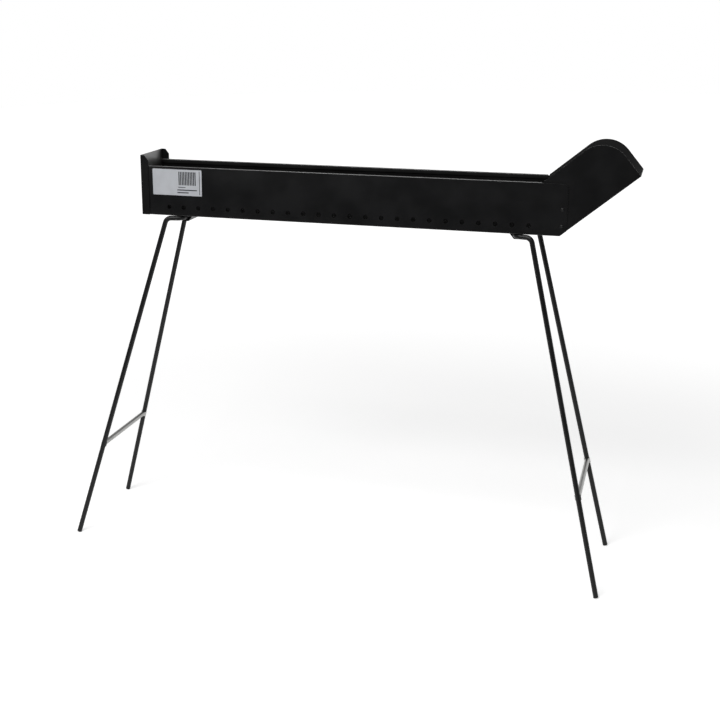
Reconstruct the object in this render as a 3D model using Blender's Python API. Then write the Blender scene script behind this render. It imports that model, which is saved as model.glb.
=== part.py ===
"""Skewer grill: a sheet steel trough with an open chute, on two folding leg frames.

Units are metres and Z is up. +X runs along the trough towards the chute and
-Y is the near side. The origin is on the floor, in the middle of the outline.
The pieces are drawn in the trough's own frame first: X = 0 at its left end,
Z = 0 under its floor. The last step sets the whole grill on the ground.
"""

from math import atan, cos, hypot, pi, radians, sin, sqrt, tan

import bmesh
import bpy
from mathutils import Matrix, Vector

# Sheet metal
SHEET = 0.0012
FOLD_INSIDE = 0.0006
LAP = 0.0003  # clearance between two pieces that lie on each other

# Trough
TROUGH_LENGTH = 0.800
TROUGH_WIDTH = 0.100
TROUGH_HEIGHT = 0.095
HEM_DEPTH = 0.008
HEM_GAP = 0.0004
AIR_HOLE = 0.006
AIR_HOLE_PITCH = 0.030
AIR_HOLE_HEIGHT = 0.0166
AIR_HOLE_MARGIN = 0.052  # least distance from a trough end to the first hole
TAIL_LENGTH = 0.012  # of the walls past the floor, beside the chute
TAIL_CORNER = 0.010

# End plate
END_HEIGHT = 0.1146
EAR_LENGTH = 0.0145
EAR_CUT_LENGTH = 0.0075
EAR_CUT_HEIGHT = 0.0095

# Chute
CHUTE_ANGLE = radians(39.8)
CHUTE_LENGTH = 0.1745
CHUTE_HEIGHT = 0.094
CHUTE_CORNER = 0.050
CHUTE_BEND = 0.003
CHUTE_REACH = 0.032  # back into the trough
HEM_STOP = 0.003  # from the hem's end to the chute's cheek

# Rivets
RIVET = 0.0032
RIVET_HEAD = 0.0062
RIVET_HEAD_HEIGHT = 0.0013
RIVET_TAIL = 0.0048
RIVET_TAIL_LENGTH = 0.0030
RIVET_TAIL_TIP = 0.0029
RIVET_TAIL_TAPER = 0.0009  # length over which the tail narrows to its tip
CHUTE_RIVET_SETBACK = 0.009  # from the tail's end
CHUTE_RIVET_HEIGHTS = (0.018, 0.048)

# Legs
ROD = 0.0095
ROD_BEND = 0.012
STAND_HEIGHT = 0.6575  # under the trough's floor
PIVOT_INSET = 0.0792  # from each end of the trough's floor
CROSS_ROD_WIDTH = 0.090
ARM_REACH = 0.030
ARM_SPREAD = 0.1025
LEFT_SPLAY = radians(16.2)
RIGHT_SPLAY = radians(13.4)
SIDE_SPLAY = radians(5.8)

# Straps that hold the cross rods
STRAP_SHEET = 0.0016
STRAP_LENGTH = 0.050
STRAP_SLACK = 0.0028  # under the rod
STRAP_FLOOR = 0.009
STRAP_FLANK_ANGLE = radians(39)
STRAP_BRIM = 0.011
STRAP_RIVET_SPACING = 0.030

# Braces
BRACE = 0.0095
BRACE_REACH = 0.482  # down each leg from where its arm starts
SADDLE_SHEET = 0.001
SADDLE_LENGTH = 0.010
SADDLE_WRAP = radians(75)  # on each side of the brace

# Fineness
ROUND_SIDES = 24
HOLE_SIDES = 16
SADDLE_SIDES = 32
RIVET_SIDES = 12
RIVET_STEPS = 4
BEND_STEPS = 6
FOLD_STEPS = 3
CORNER_STEPS = 14

OVERCUT = 0.002  # how far a cutter runs past what it cuts
SAME_PLACE = 0.00001  # points closer than this are taken as one
FOLD_OUTSIDE = FOLD_INSIDE + SHEET
ROD_AXIS_DEPTH = LAP + ROD / 2


def clear_scene():
    for thing in list(bpy.data.objects):
        bpy.data.objects.remove(thing)


def make_material(name, colour, roughness, metallic):
    material = bpy.data.materials.new(name)
    material.use_nodes = True
    shader = material.node_tree.nodes["Principled BSDF"]
    shader.inputs["Base Color"].default_value = (*colour, 1.0)
    shader.inputs["Roughness"].default_value = roughness
    shader.inputs["Metallic"].default_value = metallic
    material.diffuse_color = (*colour, 1.0)
    return material


def new_object(name, mesh_edit):
    mesh_edit.normal_update()
    mesh = bpy.data.meshes.new(name)
    mesh_edit.to_mesh(mesh)
    mesh_edit.free()
    thing = bpy.data.objects.new(name, mesh)
    bpy.context.collection.objects.link(thing)
    return thing


def rounded(corners, steps):
    """Points of an open path whose corners (u, v, radius) are arcs."""
    points = []
    for index, (u, v, radius) in enumerate(corners):
        here = Vector((u, v))
        if radius == 0:
            points.append(here)
            continue
        back = (Vector(corners[index - 1][:2]) - here).normalized()
        ahead = (Vector(corners[index + 1][:2]) - here).normalized()
        half = back.angle(ahead) / 2
        centre = here + (back + ahead).normalized() * radius / sin(half)
        first = here + back * radius / tan(half) - centre
        sweep = first.angle_signed(here + ahead * radius / tan(half) - centre)
        for step in range(steps + 1):
            turned = Matrix.Rotation(-sweep * step / steps, 2) @ first
            points.append(centre + turned)
    kept = points[:1]
    for point in points[1:]:
        if (point - kept[-1]).length > SAME_PLACE:
            kept.append(point)
    return kept


def sheet_outline(path, thickness):
    """Closed outline of a sheet whose outer face follows path, metal on its left."""
    inner = []
    for index, point in enumerate(path):
        before = path[max(index - 1, 0)]
        after = path[min(index + 1, len(path) - 1)]
        directions = [d.normalized() for d in (point - before, after - point) if d.length > 0]
        normals = [Vector((-d.y, d.x)) for d in directions]
        middle = sum(normals, Vector((0, 0))).normalized()
        inner.append(point + middle * thickness / middle.dot(normals[0]))
    return path + inner[::-1]


def prism(name, outline, along, start, end):
    """Solid with a flat outline, drawn from start to end along X, Y or Z."""
    place = {
        "X": lambda u, v, w: (w, u, v),
        "Y": lambda u, v, w: (u, w, v),
        "Z": lambda u, v, w: (u, v, w),
    }[along]
    edit = bmesh.new()
    rings = [[edit.verts.new(place(u, v, w)) for u, v in outline] for w in (start, end)]
    close_tube(edit, rings)
    return new_object(name, edit)


def close_tube(edit, rings):
    """Walls between rings of equal count, and a flat cap at each end."""
    for low, high in zip(rings, rings[1:]):
        for index in range(len(low)):
            after = (index + 1) % len(low)
            edit.faces.new((low[index], low[after], high[after], high[index]))
    edit.faces.new(rings[0])
    edit.faces.new(rings[-1])
    bmesh.ops.recalc_face_normals(edit, faces=edit.faces)


def add_cylinder(edit, start, end, radius, sides):
    start = Vector(start)
    axis = Vector(end) - start
    turn = axis.to_track_quat("Z", "Y").to_matrix().to_4x4()
    middle = Matrix.Translation(start + axis / 2)
    bmesh.ops.create_cone(
        edit, cap_ends=True, segments=sides, radius1=radius, radius2=radius,
        depth=axis.length, matrix=middle @ turn,
    )


def cylinders(name, spans, radius, sides):
    edit = bmesh.new()
    for start, end in spans:
        add_cylinder(edit, start, end, radius, sides)
    return new_object(name, edit)


def combine(target, tool, operation):
    """Apply a Boolean to target's mesh and remove the tool."""
    modifier = target.modifiers.new(operation.lower(), "BOOLEAN")
    modifier.operation = operation
    modifier.solver = "EXACT"
    modifier.object = tool
    graph = bpy.context.evaluated_depsgraph_get()
    mesh = bpy.data.meshes.new_from_object(target.evaluated_get(graph))
    mesh.name = target.name
    target.modifiers.clear()
    target.data = mesh
    bpy.data.objects.remove(tool)


def finish(thing, material, sharp=radians(35)):
    thing.data.materials.clear()
    thing.data.materials.append(material)
    thing.data.shade_smooth()
    thing.data.set_sharp_from_angle(angle=sharp)
    return thing


def set_origin(thing, origin):
    thing.data.transform(Matrix.Translation(-Vector(origin)))
    thing.location = origin


# Trough

def wall_outline():
    """Side view of the trough's wall: full height to the hem's end, then the tail."""
    tail_end = TROUGH_LENGTH + TAIL_LENGTH
    tail_top = TROUGH_HEIGHT - SHEET - HEM_GAP
    hem_end = TROUGH_LENGTH - CHUTE_REACH - HEM_STOP
    slope = tan(CHUTE_ANGLE)
    return rounded(
        [
            (-OVERCUT, -OVERCUT, 0),
            (TROUGH_LENGTH - OVERCUT / slope, -OVERCUT, 0),
            (tail_end, TAIL_LENGTH * slope, 0),
            (tail_end, tail_top, TAIL_CORNER),
            (hem_end, tail_top, 0),
            (hem_end, TROUGH_HEIGHT + OVERCUT, 0),
            (-OVERCUT, TROUGH_HEIGHT + OVERCUT, 0),
        ],
        BEND_STEPS,
    )


def air_hole_places():
    room = TROUGH_LENGTH - 2 * AIR_HOLE_MARGIN
    gaps = int((room + SAME_PLACE) / AIR_HOLE_PITCH)
    first = (TROUGH_LENGTH - gaps * AIR_HOLE_PITCH) / 2
    return [first + index * AIR_HOLE_PITCH for index in range(gaps + 1)]


def chute_rivet_place(height):
    return TROUGH_LENGTH + TAIL_LENGTH - CHUTE_RIVET_SETBACK, height


def across(places):
    """Spans of drills that pass through both walls at each (x, z)."""
    reach = TROUGH_WIDTH / 2 + OVERCUT
    return [((x, -reach, z), (x, reach, z)) for x, z in places]


def make_trough(material):
    half = TROUGH_WIDTH / 2
    hem_radius = SHEET + HEM_GAP / 2
    hem_face = half - 2 * hem_radius
    hem_foot = TROUGH_HEIGHT - HEM_DEPTH
    path = rounded(
        [
            (-hem_face, hem_foot, 0),
            (-hem_face, TROUGH_HEIGHT, hem_radius),
            (-half, TROUGH_HEIGHT, hem_radius),
            (-half, 0, FOLD_OUTSIDE),
            (half, 0, FOLD_OUTSIDE),
            (half, TROUGH_HEIGHT, hem_radius),
            (hem_face, TROUGH_HEIGHT, hem_radius),
            (hem_face, hem_foot, 0),
        ],
        FOLD_STEPS,
    )
    tail_end = TROUGH_LENGTH + TAIL_LENGTH
    trough = prism("trough", sheet_outline(path, SHEET), "X", 0, tail_end + OVERCUT)
    combine(trough, prism("outline", wall_outline(), "Y", -half - OVERCUT, half + OVERCUT), "INTERSECT")
    hem_end = TROUGH_LENGTH - CHUTE_REACH - HEM_STOP
    inner = half - SHEET - HEM_GAP / 2
    hem_clear = [
        (-inner, hem_foot - OVERCUT),
        (inner, hem_foot - OVERCUT),
        (inner, TROUGH_HEIGHT + OVERCUT),
        (-inner, TROUGH_HEIGHT + OVERCUT),
    ]
    combine(trough, prism("hem_cut", hem_clear, "X", hem_end, tail_end + 2 * OVERCUT), "DIFFERENCE")
    air = across([(x, AIR_HOLE_HEIGHT) for x in air_hole_places()])
    combine(trough, cylinders("air_drills", air, AIR_HOLE / 2, HOLE_SIDES), "DIFFERENCE")
    drills = across([chute_rivet_place(z) for z in CHUTE_RIVET_HEIGHTS])
    drills += strap_drills()
    combine(trough, cylinders("rivet_drills", drills, RIVET / 2 + LAP, HOLE_SIDES), "DIFFERENCE")
    return finish(trough, material)


# End plate

def make_end_plate(material):
    outside = TROUGH_WIDTH / 2 + LAP + SHEET
    back = -LAP - SHEET
    path = rounded(
        [
            (EAR_LENGTH, outside, 0),
            (back, outside, FOLD_OUTSIDE),
            (back, -outside, FOLD_OUTSIDE),
            (EAR_LENGTH, -outside, 0),
        ],
        FOLD_STEPS,
    )
    plate = prism("end_plate", sheet_outline(path, SHEET), "Z", 0, END_HEIGHT)
    slope = EAR_CUT_HEIGHT / EAR_CUT_LENGTH
    corner = [
        (EAR_LENGTH - EAR_CUT_LENGTH - OVERCUT / slope, END_HEIGHT + OVERCUT),
        (EAR_LENGTH + OVERCUT, END_HEIGHT - EAR_CUT_HEIGHT - OVERCUT * slope),
        (EAR_LENGTH + OVERCUT, END_HEIGHT + OVERCUT),
    ]
    combine(plate, prism("ear_cut", corner, "Y", -outside - OVERCUT, outside + OVERCUT), "DIFFERENCE")
    return finish(plate, material)


# Chute

def on_slope(along, height):
    """Point on the chute's side view, measured along its underside and square to it."""
    x = TROUGH_LENGTH + along * cos(CHUTE_ANGLE) - height * sin(CHUTE_ANGLE)
    z = along * sin(CHUTE_ANGLE) + height * cos(CHUTE_ANGLE)
    return x, z


def chute_underside():
    """Height of the chute's level floor, and the place where it turns up the slope."""
    level = SHEET + LAP
    return level, TROUGH_LENGTH + level / tan(CHUTE_ANGLE)


def top_edge_height(x):
    """Height of the cheek's sloping top edge above x."""
    corner_x, corner_z = on_slope(0, CHUTE_HEIGHT)
    return corner_z + (x - corner_x) * tan(CHUTE_ANGLE)


def make_chute(material):
    half = TROUGH_WIDTH / 2 - SHEET - LAP
    level, turn = chute_underside()
    start = TROUGH_LENGTH - CHUTE_REACH
    side = rounded(
        [
            (start, level, 0),
            (turn, level, CHUTE_BEND + SHEET),
            (*on_slope(CHUTE_LENGTH, 0), 0),
            (*on_slope(CHUTE_LENGTH, CHUTE_HEIGHT), CHUTE_CORNER),
            (start, top_edge_height(start), 0),
        ],
        CORNER_STEPS,
    )
    chute = prism("chute", side, "Y", -half, half)
    round_long_edges(chute, half, level, FOLD_OUTSIDE)
    inside_turn = turn - SHEET * tan(CHUTE_ANGLE / 2)
    far = CHUTE_LENGTH + OVERCUT
    hollow = rounded(
        [
            (start - OVERCUT, level + SHEET, 0),
            (inside_turn, level + SHEET, CHUTE_BEND),
            (*on_slope(far, SHEET), 0),
            (*on_slope(far, 2 * CHUTE_HEIGHT), 0),
            (start - OVERCUT, 2 * CHUTE_HEIGHT, 0),
        ],
        CORNER_STEPS,
    )
    room = prism("chute_room", hollow, "Y", -half + SHEET, half - SHEET)
    round_long_edges(room, half - SHEET, level + SHEET, FOLD_INSIDE)
    combine(chute, room, "DIFFERENCE")
    drills = across([chute_rivet_place(z) for z in CHUTE_RIVET_HEIGHTS])
    combine(chute, cylinders("rivet_drills", drills, RIVET / 2 + LAP, HOLE_SIDES), "DIFFERENCE")
    return finish(chute, material)


def round_long_edges(thing, half, level, radius):
    """Round the two lower edges that run along the chute, level part and slope."""
    edit = bmesh.new()
    edit.from_mesh(thing.data)
    slope_top = on_slope(0, 0)[0]
    chosen = []
    for edge in edit.edges:
        middle = (edge.verts[0].co + edge.verts[1].co) / 2
        along = edge.verts[1].co - edge.verts[0].co
        slope_level = (middle.x - slope_top) * tan(CHUTE_ANGLE)
        below = middle.z < level + radius or middle.z < slope_level + 2 * SHEET
        lengthwise = abs(along.y) < SAME_PLACE < abs(along.x)
        if below and lengthwise and abs(abs(middle.y) - half) < SAME_PLACE:
            chosen.append(edge)
    bmesh.ops.bevel(edit, geom=chosen, offset=radius, segments=FOLD_STEPS, affect="EDGES", profile=0.5)
    edit.to_mesh(thing.data)
    edit.free()


# Rivets

def make_rivet(name, seat, outward, grip, material):
    """Blind rivet: domed head on the outer face at seat, bulb on the blind side."""
    head = RIVET_HEAD / 2
    shank = RIVET / 2
    tail = RIVET_TAIL / 2
    foot = -grip - LAP
    dome = (head * head + RIVET_HEAD_HEIGHT * RIVET_HEAD_HEIGHT) / (2 * RIVET_HEAD_HEIGHT)
    profile = [(shank, foot), (shank, LAP), (head, LAP)]
    for step in range(1, RIVET_STEPS):
        radius = head * (1 - step / RIVET_STEPS)
        drop = dome - RIVET_HEAD_HEIGHT
        profile.append((radius, LAP + sqrt(dome * dome - radius * radius) - drop))
    profile.append((0, LAP + RIVET_HEAD_HEIGHT))
    tail_end = foot - RIVET_TAIL_LENGTH
    bulb = [(0, tail_end), (RIVET_TAIL_TIP / 2, tail_end), (tail, tail_end + RIVET_TAIL_TAPER), (tail, foot)]
    edit = bmesh.new()
    rings = []
    for radius, height in bulb + profile:
        if radius == 0:
            rings.append([edit.verts.new((0, 0, height))])
            continue
        turns = [2 * pi * index / RIVET_SIDES for index in range(RIVET_SIDES)]
        rings.append([edit.verts.new((radius * cos(a), radius * sin(a), height)) for a in turns])
    for low, high in zip(rings, rings[1:]):
        for index in range(RIVET_SIDES):
            corners = [low[index % len(low)], low[(index + 1) % len(low)]]
            corners += [high[(index + 1) % len(high)], high[index % len(high)]]
            edit.faces.new(list(dict.fromkeys(corners)))
    bmesh.ops.recalc_face_normals(edit, faces=edit.faces)
    rivet = new_object(name, edit)
    rivet.data.transform(Vector(outward).to_track_quat("Z", "Y").to_matrix().to_4x4())
    rivet.location = seat
    return finish(rivet, material)


def make_chute_rivets(material):
    grip = 2 * SHEET + LAP
    for side, sign in (("near", -1), ("far", 1)):
        for level, height in zip(("low", "high"), CHUTE_RIVET_HEIGHTS):
            x, z = chute_rivet_place(height)
            seat = (x, sign * TROUGH_WIDTH / 2, z)
            make_rivet(f"chute_rivet_{side}_{level}", seat, (0, sign, 0), grip, material)


# Straps

def pivots():
    """Name, place along the trough, outward sign and splay of each leg frame."""
    return (
        ("left", PIVOT_INSET, -1, LEFT_SPLAY),
        ("right", TROUGH_LENGTH - PIVOT_INSET, 1, RIGHT_SPLAY),
    )


def strap_half_widths():
    """Half widths of the strap at its floor, at its brim's inner corner and outside."""
    rise = ROD + STRAP_SLACK
    floor = STRAP_FLOOR / 2
    brim = floor + rise * tan(STRAP_FLANK_ANGLE)
    return floor, brim, brim + STRAP_BRIM


def strap_rivets(pivot):
    """Places (x, y) of the four rivets of the strap at pivot."""
    _, brim, edge = strap_half_widths()
    reach = (brim + edge) / 2
    side = STRAP_RIVET_SPACING / 2
    return [(pivot + u * reach, v * side) for u in (-1, 1) for v in (-1, 1)]


def strap_drills():
    spans = []
    for _, pivot, _, _ in pivots():
        for x, y in strap_rivets(pivot):
            spans.append(((x, y, -STRAP_SHEET - LAP - OVERCUT), (x, y, SHEET + OVERCUT)))
    return spans


def make_strap(name, pivot, material):
    floor, brim, edge = strap_half_widths()
    brim_level = -LAP - STRAP_SHEET
    floor_level = brim_level - ROD - STRAP_SLACK
    path = rounded(
        [
            (pivot - edge, brim_level, 0),
            (pivot - brim, brim_level, FOLD_INSIDE),
            (pivot - floor, floor_level, FOLD_INSIDE + STRAP_SHEET),
            (pivot + floor, floor_level, FOLD_INSIDE + STRAP_SHEET),
            (pivot + brim, brim_level, FOLD_INSIDE),
            (pivot + edge, brim_level, 0),
        ],
        FOLD_STEPS,
    )
    outline = sheet_outline(path, STRAP_SHEET)
    strap = prism(name, outline, "Y", -STRAP_LENGTH / 2, STRAP_LENGTH / 2)
    combine(strap, cylinders("strap_drills", strap_drills(), RIVET / 2 + LAP, HOLE_SIDES), "DIFFERENCE")
    return finish(strap, material)


def make_strap_rivets(name, pivot, material):
    grip = SHEET + LAP + STRAP_SHEET
    for number, (x, y) in enumerate(strap_rivets(pivot), start=1):
        seat = (x, y, -LAP - STRAP_SHEET)
        make_rivet(f"{name}_strap_rivet_{number}", seat, (0, 0, -1), grip, material)


# Leg frames

def leg_line(pivot, outward, splay, side):
    """Upper end and downward direction of a leg's centre line, 1 long in Z."""
    top = Vector((pivot + outward * ARM_REACH, side * ARM_SPREAD / 2, -ROD_AXIS_DEPTH))
    run = Vector((outward * tan(splay), side * tan(SIDE_SPLAY), -1))
    return top, run


def foot_point(pivot, outward, splay, side):
    """Centre of the rod's square end, whose lowest edge is on the floor."""
    top, run = leg_line(pivot, outward, splay, side)
    lean = atan(hypot(run.x, run.y))
    height = STAND_HEIGHT - ROD / 2 * sin(lean) - ROD_AXIS_DEPTH
    return top + run * height


def rounded_in_space(corners, radius, steps):
    """Open path through corners, each inner one replaced by an arc."""
    path = [corners[0]]
    for before, here, after in zip(corners, corners[1:], corners[2:]):
        back = (before - here).normalized()
        ahead = (after - here).normalized()
        half = back.angle(ahead) / 2
        centre = here + (back + ahead).normalized() * radius / sin(half)
        first = here + back * radius / tan(half) - centre
        axis = first.cross(ahead)
        for step in range(steps + 1):
            turned = Matrix.Rotation((pi - 2 * half) * step / steps, 3, axis) @ first
            path.append(centre + turned)
    path.append(corners[-1])
    return path


def make_rod(name, path, radius, start_side):
    """Round rod along path; start_side is where its first ring starts."""
    edit = bmesh.new()
    side = Vector(start_side)
    rings = []
    for index, point in enumerate(path):
        before = path[max(index - 1, 0)]
        after = path[min(index + 1, len(path) - 1)]
        back = (point - before).normalized()
        ahead = (after - point).normalized()
        tangent = (back + ahead).normalized()
        side = (side - tangent * side.dot(tangent)).normalized()
        other = tangent.cross(side)
        ring = []
        for step in range(ROUND_SIDES):
            turn = 2 * pi * step / ROUND_SIDES
            ring.append(edit.verts.new(point + (side * cos(turn) + other * sin(turn)) * radius))
        rings.append(ring)
    close_tube(edit, rings)
    return new_object(name, edit)


def make_leg_frame(name, pivot, outward, splay, material):
    """One rod: foot, leg, arm, cross rod in its strap, arm, leg, foot."""
    cross = CROSS_ROD_WIDTH / 2
    corners = [
        foot_point(pivot, outward, splay, -1),
        leg_line(pivot, outward, splay, -1)[0],
        Vector((pivot, -cross, -ROD_AXIS_DEPTH)),
        Vector((pivot, cross, -ROD_AXIS_DEPTH)),
        leg_line(pivot, outward, splay, 1)[0],
        foot_point(pivot, outward, splay, 1),
    ]
    path = rounded_in_space(corners, ROD_BEND, BEND_STEPS)
    frame = make_rod(name, path, ROD / 2, (0, 0, -1))
    set_origin(frame, (pivot, 0, -ROD_AXIS_DEPTH))
    return finish(frame, material)


def make_brace(name, pivot, outward, splay, material):
    """Bar between the two legs, its ends pressed into saddles round them."""
    ends = []
    for side in (-1, 1):
        top, run = leg_line(pivot, outward, splay, side)
        down = run.normalized()
        ends.append((side, top + down * BRACE_REACH, down))
    bar = cylinders(name, [(ends[0][1], ends[1][1])], BRACE / 2, ROUND_SIDES)
    seat = ROD / 2 + LAP
    for side, middle, run in ends:
        reach = run * SADDLE_LENGTH / 2
        shell = cylinders("saddle", [(middle - reach, middle + reach)], seat + SADDLE_SHEET, SADDLE_SIDES)
        combine(bar, shell, "UNION")
        beyond = run * SADDLE_LENGTH
        rod_room = cylinders("rod_room", [(middle - beyond, middle + beyond)], seat, SADDLE_SIDES)
        combine(bar, rod_room, "DIFFERENCE")
        combine(bar, outer_half(side, middle, run), "DIFFERENCE")
    set_origin(bar, (pivot, 0, -ROD_AXIS_DEPTH))
    return finish(bar, material)


def outer_half(side, middle, run):
    """Block on the leg's outer side, which leaves the saddle open there."""
    inward = Vector((0, -side, 0))
    inward = (inward - run * inward.dot(run)).normalized()
    edge = inward * (ROD / 2 + LAP) * cos(SADDLE_WRAP)
    size = 2 * SADDLE_LENGTH
    edit = bmesh.new()
    bmesh.ops.create_cube(edit, size=size)
    third = run.cross(inward)
    turn = Matrix((inward, third, run)).transposed().to_4x4()
    place = Matrix.Translation(middle + edge - inward * size / 2)
    bmesh.ops.transform(edit, matrix=place @ turn, verts=edit.verts)
    bmesh.ops.recalc_face_normals(edit, faces=edit.faces)
    return new_object("outer_half", edit)


def set_on_ground():
    """Move everything so that the floor is Z = 0 and the outline's middle is X = 0."""
    bpy.context.view_layer.update()
    corners = []
    for thing in bpy.data.objects:
        corners += [thing.matrix_world @ vertex.co for vertex in thing.data.vertices]
    ends = [corner.x for corner in corners]
    ground = min(corner.z for corner in corners)
    for thing in bpy.data.objects:
        thing.location -= Vector(((min(ends) + max(ends)) / 2, 0, ground))
    bpy.context.view_layer.update()


def main():
    clear_scene()
    trough_paint = make_material("trough_paint", (0.012, 0.012, 0.013), 0.42, 0.0)
    plate_paint = make_material("end_plate_paint", (0.014, 0.014, 0.014), 0.42, 0.0)
    chute_paint = make_material("chute_paint", (0.013, 0.013, 0.015), 0.42, 0.0)
    leg_paint = make_material("leg_paint", (0.016, 0.016, 0.017), 0.38, 0.0)
    strap_paint = make_material("strap_paint", (0.030, 0.030, 0.032), 0.45, 0.0)
    rivet_paint = make_material("rivet_paint", (0.025, 0.025, 0.026), 0.35, 0.0)
    brace_zinc = make_material("brace_zinc", (0.62, 0.63, 0.64), 0.30, 1.0)
    make_trough(trough_paint)
    make_end_plate(plate_paint)
    make_chute(chute_paint)
    make_chute_rivets(rivet_paint)
    for name, pivot, outward, splay in pivots():
        make_strap(f"{name}_leg_strap", pivot, strap_paint)
        make_strap_rivets(name, pivot, rivet_paint)
        make_leg_frame(f"{name}_leg_frame", pivot, outward, splay, leg_paint)
        make_brace(f"{name}_leg_brace", pivot, outward, splay, brace_zinc)
    set_on_ground()


if __name__ == "__main__":
    main()
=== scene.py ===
"""Finish of a skewer grill: paint, plating, wall plate, welds and a plain studio stage.

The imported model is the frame. Units are metres, Z is up, +X runs towards the
chute and -Y is the near side. Every CAD piece keeps its own shape and place.
"""

from math import cos, pi, radians, sin, sqrt, tan

import bmesh
import bpy
from bpy.props import FloatProperty, FloatVectorProperty, IntProperty, PointerProperty
from mathutils import Matrix, Vector


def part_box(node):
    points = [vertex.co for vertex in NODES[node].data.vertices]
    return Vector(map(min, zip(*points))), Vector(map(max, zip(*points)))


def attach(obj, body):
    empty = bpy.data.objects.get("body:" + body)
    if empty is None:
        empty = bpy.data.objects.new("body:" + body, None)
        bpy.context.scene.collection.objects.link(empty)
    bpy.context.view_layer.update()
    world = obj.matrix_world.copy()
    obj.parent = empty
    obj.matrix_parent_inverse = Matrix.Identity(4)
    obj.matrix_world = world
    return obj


bl_info = {
    "name": "Skewer grill finish",
    "version": (1, 0, 0),
    "blender": (4, 5, 0),
    "location": "3D View > Sidebar > Grill",
    "description": "Finishes and stages a skewer grill with a chute and two folding leg frames",
    "category": "Object",
}

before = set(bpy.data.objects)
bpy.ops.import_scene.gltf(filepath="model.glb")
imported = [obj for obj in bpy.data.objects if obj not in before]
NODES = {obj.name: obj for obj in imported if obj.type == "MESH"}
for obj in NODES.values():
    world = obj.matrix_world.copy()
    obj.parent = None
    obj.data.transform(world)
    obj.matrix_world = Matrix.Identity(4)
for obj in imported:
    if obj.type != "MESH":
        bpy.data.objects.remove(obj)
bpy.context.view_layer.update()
SIDES = ("left", "right")

# Lie of the legs, as the source draws them
LEG_SPLAY = {"left": radians(-16.2), "right": radians(13.4)}
LEG_SIDE_SPLAY = radians(5.8)
LEG_SPREAD_AT_BRACE = {"left": 0.1961, "right": 0.1973}
ROD = 0.0095

# Air holes of the trough's walls, as the source sets them out, round which shade is painted
AIR_HOLE = 0.006
AIR_HOLE_PITCH = 0.030
AIR_HOLE_HEIGHT = 0.0166
AIR_HOLE_INSET = 0.055  # from the trough's left end to its first hole
AIR_HOLES = 24

# How far in from a sheet's outer faces the masks of its inner side and its rim begin
SHEET_SKIN = 0.0011
END_PLATE_SKIN = 0.0020
RIM_SKIN = 0.0009

# Polished coats: the mask that each follows, its strength and its roughness
RIM_GLAZE = ("Rim", 0.6, 0.30)
END_PLATE_GLAZE = ("Inside", 1.0, 0.46)
GLAZE_IOR = 2.1

# Wall plate: corner radii, depths off the wall, and the print in shares of the plate's size
PLATE_CORNER, BAR_CORNER, RULE_CORNER, BORDER_CORNER = 0.0012, 0.00012, 0.0004, 0.0002
FILM_BACK, FILM_FRONT, FILM_CROWN = 0.00003, 0.00035, 0.00012
PRINT_BACK, PRINT_THICKNESS, PRINT_CROWN = 0.00034, 0.00006, 0.00002
BARS_LEFT, BARS_RIGHT = 0.025, 0.385  # from the plate's middle, like all places below
BARS_FOOT, BARS_TOP = -0.100, 0.415
BAR_SHARE = 0.62  # of the bars' pitch
RULES = (  # height, start and length in shares, thickness in metres
    (-0.180, 0.02, 0.15, 0.0013),
    (-0.285, 0.0, 0.40, 0.0020),
    (-0.385, 0.0, 0.23, 0.0020),
)
BORDER_AT, BORDER_LENGTH = 0.455, 0.90
BORDER_THICKNESS = 0.0012

# Weld fillets
WELD_SLICES, WELD_STEPS = 10, 8  # across the fillet, and round its face
WELD_INTO_LEG, WELD_INTO_BAR = 0.0004, 0.0006  # how deep it sinks into the two skins
WELD_ROOT = 0.0008  # how deep its root lies behind its corner
WELD_END = 0.25  # share of its reach that is left at its two ends
WELD_ROUND = 0.96  # how far its outline follows a half circle
WELD_RIPPLE = 0.05  # share of its reach by which one slice passes the next
WELD_HOLLOW = 0.72  # power that hollows its face

# Stage
FLOOR_RADIUS, FLOOR_MIDDLE, FLOOR_SEGMENTS = 6.0, (0, 5.1, 0), 96
LIFT_NEAR_TO, LIFT_FAR_FROM = 0.8, 3.0  # distance from the floor's point under the grill
OVERHEAD_LAMP = ((2.4, 1.2), (-0.1, -1.25, 2.7))  # size, place
FRONT_LAMP = ((1.8, 1.0), (-0.7, -2.4, 2.6))
LAMP_AIM = Vector((0, 0, 0.5))
ROOM_TO, BACKDROP_FROM = -0.35, 0.35  # Y of a direction in the world
CEILING_FROM, CEILING_FULL = 0.24, 0.46  # Z of a direction in the world

# Camera
CAMERA_PLACE = (0.61742, -2.25947, 1.09052)
CAMERA_AZIMUTH, CAMERA_PITCH, CAMERA_ROLL = radians(16.03), radians(15.50), radians(-0.04)
CAMERA_LENS, CAMERA_SENSOR = 62.61, 36
CAMERA_SHIFT = (0.0417, -0.0417)


# Settings that a user would change

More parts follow.
